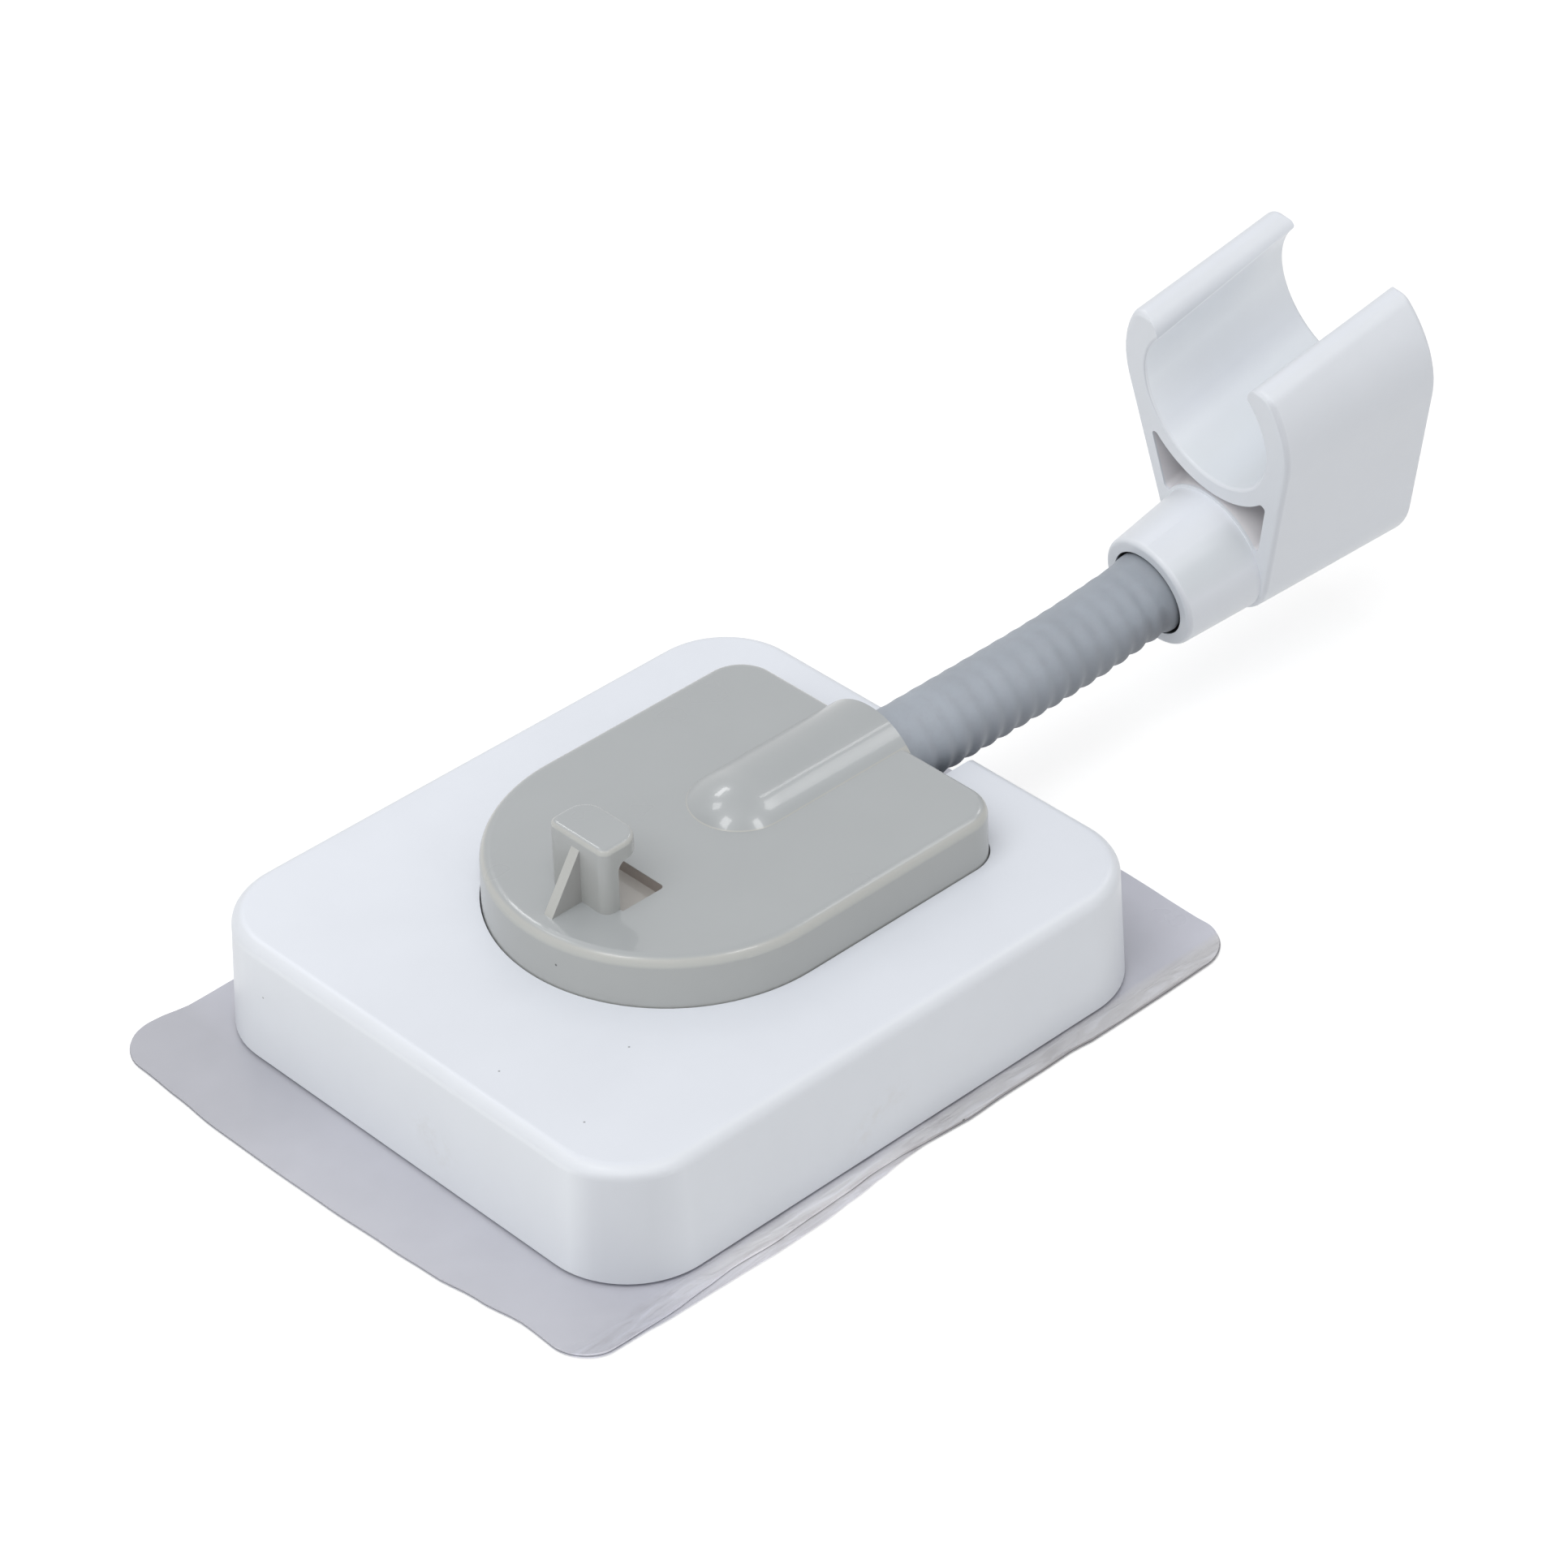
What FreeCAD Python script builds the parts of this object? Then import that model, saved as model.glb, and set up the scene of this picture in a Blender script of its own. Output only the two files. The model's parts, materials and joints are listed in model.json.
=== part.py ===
import math
import os

import FreeCAD
import Part

Vector = FreeCAD.Vector
X_AXIS = Vector(1, 0, 0)
Y_AXIS = Vector(0, 1, 0)
Z_AXIS = Vector(0, 0, 1)

# Frame: X runs from the hook towards the cradle and Z away from the wall.
# The origin is the centre of the liner's back.
# Liner and film, under the whole base
liner_thickness = 0.3
film_thickness = 0.8
film_length = 128.6
film_width = 98.6
film_corner = 9.0

# White base cover, a moulded shell
cover_length = 100.0
cover_width = 86.6
cover_height = 18.4
cover_corner = 12.5
cover_draft = 0.05
cover_edge = 2.0
wall = 2.2
recess_depth = 2.5
recess_gap = 0.35

# Back plate that closes the cover
back_plate_thickness = 2.0
back_plate_gap = 0.15
back_plate_rib = 1.6
back_plate_rib_height = 2.0

# Grey clamp plate: a half round at the hook's end and two rounded corners at the neck's end
plate_front = -27.1
plate_back = 37.1
plate_half_width = 26.4
plate_y = -0.3
plate_rise = 7.9
plate_corner = 6.0
plate_draft = 0.02
plate_edge = 1.6
plate_skin = 1.7
plate_wall = 1.8
channel_nose_x = 4.7
channel_wall = 1.9

# Hook on the clamp plate, with the window that forms its lip
hook_x = -18.6
hook_y = -0.95
hook_width = 11.4
hook_slab = 2.5
hook_outer_corner = 1.5
hook_height = 10.5
hook_lip_reach = 7.2
hook_lip_thickness = 2.8
hook_lip_corner = 3.2
hook_lip_edge = 0.8
hook_throat = 1.5
hook_rib_reach = 5.4
hook_rib_height = 8.6
hook_rib_thickness = 1.6
window_reach = 7.6
window_side_gap = 0.5
window_corner = 0.7
window_depth = 1.9
window_floor = 1.2

# Screws that pull the clamp plate down
screw_radius = 1.4
screw_head_radius = 2.8
screw_head_height = 2.0
screw_grip = 7.0
screw_hole_gap = 0.3
screw_hole_spare = 0.5
screw_slot_half = 1.6
screw_slot_half_width = 0.35
boss_radius = 3.4
seat_post_radius = 3.0
seat_post_inset = 12.0
screw_front_x = -11.0
screw_front_y = 17.0
screw_back_x = 27.0
screw_back_y = 17.5

# Flexible neck: its axis lies over the cover, and its last sections rise and turn slightly
neck_rise = 19.35
hinge_start_x = 46.0
hinge_pitch = 8.4
section_tilt = (0.0, 0.0, 0.5, 2.0, 5.0)
section_turn = (0.0, 0.0, 0.0, 0.0, 0.0)
cradle_tilt = 10.5
cradle_turn = -4.8
cradle_roll = 5.5
ball_radius = 3.2
ball_gap = 0.05
cup_radius = 4.5
cup_mouth_angle = 56.0
stem_radius = 1.5
core_radius = 4.4
core_start_x = 18.4

# Ribbed sleeve over the neck
sleeve_crest_radius = 6.25
sleeve_root_radius = 5.9
sleeve_bore_radius = 4.9
rib_pitch = 3.5
rings_per_rib = 2
sleeve_start_x = 24.3
ribs_start_x = 37.0
fit_gap = 0.05
exit_gap = 0.4

# Root ferrule, held between the cover's saddle and the plate's channel
ferrule_radius = 8.2
ferrule_start_x = 16.1
ferrule_end_x = 34.0
ferrule_chamfer = 0.6
ferrule_floor_gap = 0.2
seat_gap = 0.1

# Snap plug on the neck's end and the cradle that turns on it, along the cradle's own axis
collar_distance = 5.6
plug_spigot_start = 0.3
plug_flange_start = 3.0
plug_flange_thickness = 1.2
plug_flange_radius = 6.4
plug_shaft_radius = 5.5
plug_shaft_length = 6.7
plug_head_radius = 6.3
plug_head_length = 2.6
plug_slot = 1.2
plug_spigot_chamfer = 0.5
plug_head_land = 0.8
plug_head_drop = 1.4
plug_end_gap = 0.2
plug_head_gap = 0.3
collar_radius = 9.0
collar_flare = 0.09
collar_bore_radius = 7.0
collar_length = 13.1
collar_overlap = 3.0
collar_rim_edge = 0.8
cradle_length = 27.8
cradle_flare = 0.075
cradle_half_width = 16.55
cradle_side_height = 24.0
cradle_under_step = 0.25
cradle_under_rise = 0.8
cradle_top_height = 38.7
cradle_top_slope = 0.059
cradle_tip_y = 12.2
cradle_tip_radius = 2.8
cradle_edge = 0.9
trough_radius = 12.5
trough_height = 26.95
trough_tilt = 8.0
trough_wall = 2.8
trough_edge = 0.5
pocket_side_wall = 2.9
pocket_back_wall = 2.0
pocket_collar_wall = 0.5
pocket_corner = 0.7
bore_flare = 0.11

# Heights and places that follow from the sizes above
cover_bottom = liner_thickness + film_thickness
cover_top = cover_bottom + cover_height
recess_floor = cover_top - recess_depth
plate_top = cover_top + plate_rise
neck_z = cover_bottom + neck_rise
saddle_radius = ferrule_radius + seat_gap
channel_radius = saddle_radius + channel_wall
boss_places = [
    (screw_front_x, plate_y + screw_front_y),
    (screw_front_x, plate_y - screw_front_y),
    (screw_back_x, plate_y + screw_back_y),
    (screw_back_x, plate_y - screw_back_y),
]


def box(x0, x1, y0, y1, z0, z1):
    return Part.makeBox(x1 - x0, y1 - y0, z1 - z0, Vector(x0, y0, z0))


def rounded_outline(length, width, radius, z):
    """A closed wire: a rectangle with four equal round corners, centred on the origin."""
    half_x = length / 2
    half_y = width / 2
    edges = []
    corners = [(1, 1, 0), (-1, 1, 90), (-1, -1, 180), (1, -1, 270)]
    ends = []
    for side_x, side_y, start in corners:
        centre = Vector(side_x * (half_x - radius), side_y * (half_y - radius), z)
        arc = Part.Arc(Part.Circle(centre, Z_AXIS, radius), math.radians(start), math.radians(start + 90))
        ends.append((arc.StartPoint, arc.EndPoint))
        edges.append(arc.toShape())
    for i in range(4):
        edges.append(Part.makeLine(ends[i][1], ends[(i + 1) % 4][0]))
    return Part.Wire(Part.__sortEdges__(edges))


def d_outline(grow, z):
    """The clamp plate's outline grown outwards: a half round in front, two round corners at the back."""
    half = plate_half_width + grow
    back = plate_back + grow
    corner = max(plate_corner + grow, 0.6)
    centre_x = plate_front + plate_half_width
    left = plate_y + half
    right = plate_y - half
    nose = Part.Arc(
        Vector(centre_x, left, z), Vector(centre_x - half, plate_y, z), Vector(centre_x, right, z)
    ).toShape()
    slack = corner * (1 - math.sqrt(0.5))
    right_corner = Part.Arc(
        Vector(back - corner, right, z),
        Vector(back - slack, right + slack, z),
        Vector(back, right + corner, z),
    ).toShape()
    left_corner = Part.Arc(
        Vector(back, left - corner, z),
        Vector(back - slack, left - slack, z),
        Vector(back - corner, left, z),
    ).toShape()
    lines = [
        Part.makeLine(Vector(centre_x, right, z), Vector(back - corner, right, z)),
        Part.makeLine(Vector(back, right + corner, z), Vector(back, left - corner, z)),
        Part.makeLine(Vector(back - corner, left, z), Vector(centre_x, left, z)),
    ]
    return Part.Wire(Part.__sortEdges__([nose, lines[0], right_corner, lines[1], left_corner, lines[2]]))


def prism(wire, height):
    return Part.Face(wire).extrude(Vector(0, 0, height))


def cylinder_x(radius, x0, x1, y=0.0, z=neck_z):
    return Part.makeCylinder(radius, x1 - x0, Vector(x0, y, z), X_AXIS)


def revolve_profile(points, axis_point=Vector(0, 0, 0)):
    """Turns a closed outline of (distance along X, radius) points round the X axis through axis_point."""
    corners = [axis_point + Vector(along, 0, radius) for along, radius in points]
    wire = Part.makePolygon(corners + [corners[0]])
    return Part.Face(wire).revolve(axis_point, X_AXIS, 360)


def direction(tilt, turn):
    """Unit vector that starts along X, tilted up and turned to the left by angles in degrees."""
    up = math.radians(tilt)
    left = math.radians(turn)
    return Vector(math.cos(up) * math.cos(left), math.cos(up) * math.sin(left), math.sin(up))


def placed(shape, point, tilt, turn, roll=0.0):
    """Moves a shape that was built along X at the origin to a point, rolled about X, tilted and turned."""
    turned = FreeCAD.Rotation(Z_AXIS, turn).multiply(FreeCAD.Rotation(Y_AXIS, -tilt))
    turned = turned.multiply(FreeCAD.Rotation(X_AXIS, roll))
    copy = shape.copy()
    copy.Placement = FreeCAD.Placement(point, turned)
    return copy


def hinge_points():
    """Centres of the neck's six hinges, from the base outwards."""
    points = [Vector(hinge_start_x, 0, neck_z)]
    for tilt, turn in zip(section_tilt, section_turn):
        points.append(points[-1] + direction(tilt, turn) * hinge_pitch)
    return points


def liner():
    return prism(rounded_outline(film_length, film_width, film_corner, 0), liner_thickness)


def film():
    return prism(rounded_outline(film_length, film_width, film_corner, liner_thickness), film_thickness)


def tapered_block(length, width, corner, z0, z1):
    """A block with the cover's draft, its sizes given at the cover's top plane."""
    wires = []
    for z in (z0, z1):
        grow = cover_draft * (cover_top - z)
        wires.append(rounded_outline(length + 2 * grow, width + 2 * grow, corner + grow, z))
    return Part.makeLoft(wires, True, True)


def cover():
    outer = tapered_block(cover_length, cover_width, cover_corner, cover_bottom, cover_top)
    top_edges = [e for e in outer.Edges if min(v.Z for v in e.Vertexes) > cover_top - 0.01]
    outer = outer.makeFillet(cover_edge, top_edges)
    inner_length = cover_length - 2 * wall
    inner_width = cover_width - 2 * wall
    hollow = tapered_block(inner_length, inner_width, cover_corner - wall, cover_bottom, cover_top - wall)
    recess = prism(d_outline(recess_gap, recess_floor), recess_depth + 1)
    recess_shell = prism(d_outline(recess_gap + wall, recess_floor - wall), recess_depth + wall)
    saddle = cylinder_x(saddle_radius, ferrule_start_x - seat_gap, cover_length)
    saddle_shell = cylinder_x(saddle_radius + wall, ferrule_start_x - seat_gap - wall, cover_length)
    kept = recess_shell.fuse(saddle_shell)
    seat_z = cover_bottom + back_plate_thickness
    post_x = cover_length / 2 - seat_post_inset
    post_y = cover_width / 2 - seat_post_inset
    for x, y in ((post_x, post_y), (-post_x, post_y), (-post_x, -post_y), (post_x, -post_y)):
        kept = kept.fuse(Part.makeCylinder(seat_post_radius, cover_height, Vector(x, y, seat_z)))
    body = outer.cut(hollow.cut(kept))
    body = body.cut([recess, saddle])
    for x, y in boss_places:
        start = Vector(x, y, recess_floor - 2 * wall)
        body = body.cut(Part.makeCylinder(screw_radius + screw_hole_gap, 3 * wall, start))
    return body.removeSplitter()


def back_plate():
    """Flat plate set into the cover's open back, with one stiffening rib that runs round its inner face."""
    grow = cover_draft * cover_height
    length = cover_length - 2 * (wall + back_plate_gap) + 2 * grow
    width = cover_width - 2 * (wall + back_plate_gap) + 2 * grow
    outline = rounded_outline(length, width, cover_corner - wall + grow, cover_bottom)
    plate = prism(outline, back_plate_thickness - back_plate_gap)
    z0 = cover_bottom + back_plate_thickness / 2
    z1 = cover_bottom + back_plate_thickness + back_plate_rib_height
    outer = rounded_outline(length - 2 * cover_corner, width - 2 * cover_corner, cover_corner, z0)
    inner_length = length - 2 * (cover_corner + back_plate_rib)
    inner_width = width - 2 * (cover_corner + back_plate_rib)
    inner = rounded_outline(inner_length, inner_width, cover_corner - back_plate_rib, z0)
    rib = prism(outer, z1 - z0).cut(prism(inner, z1 - z0))
    return plate.fuse(rib).removeSplitter()


def channel_outer():
    """The raised channel: an arch round the neck's axis with a domed nose."""
    half_width = math.sqrt(channel_radius ** 2 - (plate_top - neck_z) ** 2)
    straight_x = channel_nose_x + half_width
    arch = cylinder_x(channel_radius, straight_x, plate_back)
    rise = neck_z + channel_radius - plate_top
    top = Vector(straight_x, 0, plate_top + rise)
    foot = Vector(straight_x - half_width, 0, plate_top)
    sine = 0.5 * half_width / channel_radius
    middle = Vector(straight_x - channel_radius * sine, 0, neck_z + channel_radius * math.sqrt(1 - sine ** 2))
    arc = Part.Arc(foot, middle, top).toShape()
    centre = Vector(straight_x, 0, plate_top)
    face = Part.Face(Part.Wire([arc, Part.makeLine(top, centre), Part.makeLine(centre, foot)]))
    nose = face.revolve(centre, Z_AXIS, 180)
    nose = nose.fuse(face.revolve(centre, Z_AXIS, -180))
    side = 2 * channel_radius
    above = box(0, plate_back, -side, side, plate_top - plate_skin, plate_top + side)
    return arch.common(above).fuse(nose)


def upright_edges(shape, x):
    """Vertical edges of a box that lie in the plane at x."""
    return [e for e in shape.Edges
            if len(e.Vertexes) == 2 and all(abs(v.X - x) < 0.01 for v in e.Vertexes)
            and abs(e.Vertexes[0].Y - e.Vertexes[1].Y) < 0.01]


def hook():
    """Upright slab with a lip towards the neck and a thin rib on its outer face."""
    y0 = hook_y - hook_width / 2
    y1 = hook_y + hook_width / 2
    foot = plate_top - plate_skin / 2
    top = plate_top + hook_height
    slab = box(hook_x, hook_x + hook_slab, y0, y1, foot, top)
    lip = box(hook_x, hook_x + hook_lip_reach, y0, y1, top - hook_lip_thickness, top)
    slab = slab.makeFillet(hook_outer_corner, upright_edges(slab, hook_x))
    lip = lip.makeFillet(hook_lip_corner, upright_edges(lip, hook_x + hook_lip_reach))
    lip = lip.makeFillet(hook_outer_corner, upright_edges(lip, hook_x))
    body = slab.fuse(lip).removeSplitter()
    throat_x = hook_x + hook_slab
    throat_z = top - hook_lip_thickness
    throat = [e for e in body.Edges
              if all(abs(v.X - throat_x) < 0.01 and abs(v.Z - throat_z) < 0.01 for v in e.Vertexes)]
    body = body.makeFillet(hook_throat, throat)
    rim = [e for e in body.Edges if min(v.Z for v in e.Vertexes) > top - 0.01]
    body = body.makeFillet(hook_lip_edge, rim)
    rib_y = hook_y - hook_rib_thickness / 2
    rib_x = hook_x + hook_slab / 2
    corners = [
        Vector(rib_x, rib_y, foot),
        Vector(hook_x - hook_rib_reach, rib_y, foot),
        Vector(hook_x - hook_rib_reach, rib_y, plate_top),
        Vector(hook_x, rib_y, plate_top + hook_rib_height),
        Vector(rib_x, rib_y, plate_top + hook_rib_height),
    ]
    rib = Part.Face(Part.makePolygon(corners + [corners[0]])).extrude(Vector(0, hook_rib_thickness, 0))
    return body.fuse(rib)


def clamp_plate():
    grow = plate_draft * (plate_top - recess_floor)
    outer = Part.makeLoft([d_outline(grow, recess_floor), d_outline(0, plate_top)], True, True)
    top_edges = [e for e in outer.Edges if min(v.Z for v in e.Vertexes) > plate_top - 0.01]
    outer = outer.makeFillet(plate_edge, top_edges)
    outer = outer.fuse(channel_outer())
    hollow = prism(d_outline(-plate_wall, recess_floor), plate_top - plate_skin - recess_floor)
    inner_x = ferrule_start_x - seat_gap - channel_wall
    kept = cylinder_x(channel_radius, inner_x, plate_back)
    for x, y in boss_places:
        kept = kept.fuse(Part.makeCylinder(boss_radius, plate_top - recess_floor, Vector(x, y, recess_floor)))
    window_y0 = hook_y - hook_width / 2 - window_side_gap
    window_y1 = hook_y + hook_width / 2 + window_side_gap
    window_x0 = hook_x + hook_slab
    window_x1 = window_x0 + window_reach
    window_z0 = plate_top - window_depth
    kept = kept.fuse(box(window_x0 - window_floor, window_x1 + window_floor, window_y0 - window_floor,
                         window_y1 + window_floor, window_z0 - window_floor, plate_top))
    body = outer.cut(hollow.cut(kept))
    seat = cylinder_x(saddle_radius, ferrule_start_x - seat_gap, ferrule_end_x + seat_gap)
    exit_radius = sleeve_crest_radius + exit_gap
    exit_end = 2 * plate_back
    exit_hole = cylinder_x(exit_radius, ferrule_end_x, exit_end)
    way_down = box(ferrule_end_x, exit_end, -exit_radius, exit_radius, recess_floor - 1, neck_z)
    seat_way = box(ferrule_start_x - seat_gap, ferrule_end_x + seat_gap, -saddle_radius, saddle_radius,
                   recess_floor - 1, neck_z)
    body = body.cut([seat, exit_hole, way_down, seat_way])
    for x, y in boss_places:
        depth = screw_grip + screw_hole_spare
        body = body.cut(Part.makeCylinder(screw_radius + fit_gap, depth, Vector(x, y, recess_floor)))
    window = box(window_x0, window_x1, window_y0, window_y1, window_z0, plate_top + 1)
    window = window.makeFillet(window_corner, upright_edges(window, window_x1))
    body = body.cut(window).fuse(hook())
    return body.removeSplitter()


def plate_screw(x, y):
    """Countersunk tapping screw, driven upwards from inside the cover."""
    head_z = recess_floor - wall
    profile = [
        Vector(x, y, head_z - screw_head_height),
        Vector(x + screw_head_radius, y, head_z - screw_head_height),
        Vector(x + screw_head_radius, y, head_z),
        Vector(x + screw_radius, y, head_z),
        Vector(x + screw_radius, y, recess_floor + screw_grip - screw_radius),
        Vector(x, y, recess_floor + screw_grip),
    ]
    body = Part.Face(Part.makePolygon(profile + [profile[0]])).revolve(Vector(x, y, 0), Z_AXIS, 360)
    long = screw_slot_half
    thin = screw_slot_half_width
    for long_x, long_y in ((long, thin), (thin, long)):
        slot = box(x - long_x, x + long_x, y - long_y, y + long_y,
                   head_z - screw_head_height - 1, head_z - screw_head_height / 2)
        body = body.cut(slot)
    return body


def root_ferrule():
    points = [
        (ferrule_start_x, core_radius + fit_gap),
        (ferrule_start_x, ferrule_radius - ferrule_chamfer),
        (ferrule_start_x + ferrule_chamfer, ferrule_radius),
        (ferrule_end_x - ferrule_chamfer, ferrule_radius),
        (ferrule_end_x, ferrule_radius - ferrule_chamfer),
        (ferrule_end_x, sleeve_crest_radius + fit_gap),
        (sleeve_start_x - ferrule_floor_gap, sleeve_crest_radius + fit_gap),
        (sleeve_start_x - ferrule_floor_gap, core_radius + fit_gap),
    ]
    return revolve_profile(points, Vector(0, 0, neck_z))


def arc_edge(centre, radius, first, last):
    """An arc in the XZ plane round a point on the X axis, between two angles in degrees from +X."""
    points = []
    for angle in (first, (first + last) / 2, last):
        turn = math.radians(angle)
        points.append(Vector(centre + radius * math.cos(turn), 0, radius * math.sin(turn)))
    return Part.Arc(*points).toShape()


def turned(edges):
    """Joins edges above the X axis end to end, closes them and turns them round it."""
    chain = []
    for edge, following in zip(edges, edges[1:] + edges[:1]):
        chain.append(edge)
        gap_start = edge.valueAt(edge.LastParameter)
        gap_end = following.valueAt(following.FirstParameter)
        if gap_start.distanceToPoint(gap_end) > 1e-6:
            chain.append(Part.makeLine(gap_start, gap_end))
    return Part.Face(Part.Wire(chain)).revolve(Vector(0, 0, 0), X_AXIS, 360)


def socket_edges(centre, neck_radius):
    """Half section of a socket round a hinge centre, from the rod or stem behind it to its inner back."""
    back = 180 - math.degrees(math.asin(neck_radius / cup_radius))
    return [
        arc_edge(centre, cup_radius, back, cup_mouth_angle),
        arc_edge(centre, ball_radius + ball_gap, cup_mouth_angle, 180),
    ]


def ball_edge():
    """Half section of the ball at the origin, from its back to the stem."""
    return arc_edge(0.0, ball_radius, 180, math.degrees(math.asin(stem_radius / ball_radius)))


def core_root():
    """Fixed end of the core: a rod in the ferrule that ends in the first socket."""
    start = core_start_x - hinge_start_x
    end_face = Part.makeLine(Vector(start, 0, 0), Vector(start, 0, core_radius))
    return turned([end_face] + socket_edges(0.0, core_radius))


def core_section():
    """One moving section of the core: ball, stem and the next socket."""
    return turned([ball_edge()] + socket_edges(hinge_pitch, stem_radius))


def core_tip():
    """Last ball and a longer stem that is pressed into the plug."""
    length = collar_distance + plug_flange_start + plug_flange_thickness + plug_shaft_length
    end_face = Part.makeLine(Vector(length, 0, stem_radius), Vector(length, 0, 0))
    return turned([ball_edge(), end_face])


def ring_on(curve, distance, radius):
    """A circle square to the curve, turned with it so that neighbouring circles start alike."""
    at = curve.parameterAtDistance(distance, curve.FirstParameter)
    way = Vector(*curve.tangent(at)[0])
    tilt = math.degrees(math.asin(way.z))
    turn = math.degrees(math.atan2(way.y, way.x))
    return placed(Part.Wire(Part.makeCircle(radius, Vector(0, 0, 0), X_AXIS)), curve.value(at), tilt, turn)


def sleeve():
    """Ribbed tube swept along the neck's axis, its outer skin lofted through crests and roots."""
    points = [Vector(sleeve_start_x, 0, neck_z), Vector(ribs_start_x, 0, neck_z)] + hinge_points()
    end_way = direction(cradle_tilt, cradle_turn)
    points.append(points[-1] + end_way * (collar_distance + plug_flange_start - 0.2))
    curve = Part.BSplineCurve()
    curve.interpolate(Points=points, InitialTangent=X_AXIS, FinalTangent=end_way)
    straight = ribs_start_x - sleeve_start_x
    rib_count = round((curve.length() - straight) / rib_pitch)
    step = (curve.length() - straight) / (rib_count * rings_per_rib)
    middle = (sleeve_crest_radius + sleeve_root_radius) / 2
    swing = (sleeve_crest_radius - sleeve_root_radius) / 2
    skins = [ring_on(curve, 0.0, sleeve_crest_radius)]
    bores = [ring_on(curve, 0.0, sleeve_bore_radius)]
    for i in range(rib_count * rings_per_rib + 1):
        distance = straight + i * step
        radius = middle + swing * math.cos(2 * math.pi * i / rings_per_rib)
        skins.append(ring_on(curve, distance, radius))
        if i % rings_per_rib == 0:
            bores.append(ring_on(curve, distance, sleeve_bore_radius))
    return Part.makeLoft(skins, True, True).cut(Part.makeLoft(bores, True, True))


def end_plug():
    """Snap plug: spigot in the sleeve, flange, bearing shaft and split head, along X from the collar's face."""
    hole = stem_radius + fit_gap
    flange_end = plug_flange_start + plug_flange_thickness
    shaft_end = flange_end + plug_shaft_length
    head_end = shaft_end + plug_head_length
    points = [
        (plug_spigot_start, hole),
        (plug_spigot_start, sleeve_bore_radius - fit_gap - plug_spigot_chamfer),
        (plug_spigot_start + plug_spigot_chamfer, sleeve_bore_radius - fit_gap),
        (plug_flange_start, sleeve_bore_radius - fit_gap),
        (plug_flange_start, plug_flange_radius),
        (flange_end, plug_flange_radius),
        (flange_end, plug_shaft_radius),
        (shaft_end, plug_shaft_radius),
        (shaft_end, plug_head_radius),
        (shaft_end + plug_head_land, plug_head_radius),
        (head_end, plug_head_radius - plug_head_drop),
        (head_end, hole),
    ]
    body = revolve_profile(points)
    slot_start = flange_end + plug_shaft_length / 2
    for half_y, half_z in ((plug_slot / 2, 10), (10, plug_slot / 2)):
        body = body.cut(box(slot_start, head_end + 1, -half_y, half_y, -half_z, half_z))
    return body


def waist_radius(t):
    """Radius of the collar and of the cradle's round underside at distance t from the collar's face."""
    return collar_radius + collar_flare * t


def arc_across(centre, radius, first, last):
    """An arc square to X round a centre, between two angles in radians from +Y towards +Z."""
    points = []
    for angle in (first, (first + last) / 2, last):
        points.append(centre + Vector(0, math.cos(angle), math.sin(angle)) * radius)
    return Part.Arc(*points).toShape()


def cradle_section(t):
    """Outline of the cradle's solid form at distance t: round underside, straight sides, arcs to the tips."""
    top = cradle_top_height + cradle_top_slope * (t - collar_length)
    under = Vector(t, 0, cradle_under_rise)
    under_radius = waist_radius(t) + cradle_under_step + cradle_under_rise
    side = Vector(t, cradle_half_width + cradle_flare * (t - collar_length), cradle_side_height)
    rise = side.z - under.z
    low_angle = math.atan2(rise, side.y) - math.acos(under_radius / math.hypot(rise, side.y))
    out = Vector(0, math.cos(low_angle), math.sin(low_angle))
    tip = Vector(t, cradle_tip_y, top - cradle_tip_radius)
    span = side - tip
    side_radius = (span.dot(span) - cradle_tip_radius ** 2) / (2 * (out.dot(span) - cradle_tip_radius))
    side_centre = side - out * side_radius
    towards_tip = tip - side_centre
    shoulder_angle = math.atan2(towards_tip.z, towards_tip.y)
    half = [
        arc_across(under, under_radius, -math.pi / 2, low_angle),
        Part.makeLine(under + out * under_radius, side),
        arc_across(side_centre, side_radius, low_angle, shoulder_angle),
        arc_across(tip, cradle_tip_radius, shoulder_angle, math.pi / 2),
        Part.makeLine(Vector(t, cradle_tip_y, top), Vector(t, 0, top)),
    ]
    mirrored = [edge.mirror(Vector(0, 0, 0), Y_AXIS) for edge in half]
    return Part.Wire(Part.__sortEdges__(half + mirrored))


def mouth_cut(start, end):
    """Space between the two round arm tips, lofted along the cradle up through its open top."""
    wires = []
    for t in (start, end):
        top = cradle_top_height + cradle_top_slope * (t - collar_length)
        axis_z = trough_height + math.tan(math.radians(trough_tilt)) * (t - collar_length)
        inner_y = cradle_tip_y - cradle_tip_radius
        tip_z = top - cradle_tip_radius
        slack = cradle_tip_radius * (1 - math.sqrt(0.5))
        crown = Vector(t, cradle_tip_y, top)
        middle = Vector(t, inner_y + slack, top - slack)
        inner = Vector(t, inner_y, tip_z)
        half = [
            Part.makeLine(Vector(t, 0, top + 5), Vector(t, cradle_tip_y, top + 5)),
            Part.makeLine(Vector(t, cradle_tip_y, top + 5), crown),
            Part.Arc(crown, middle, inner).toShape(),
            Part.makeLine(inner, Vector(t, inner_y, axis_z)),
            Part.makeLine(Vector(t, inner_y, axis_z), Vector(t, 0, axis_z)),
        ]
        mirrored = [edge.mirror(Vector(0, 0, 0), Y_AXIS) for edge in half]
        wires.append(Part.Wire(Part.__sortEdges__(half + mirrored)))
    return Part.makeLoft(wires, True, True)


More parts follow.
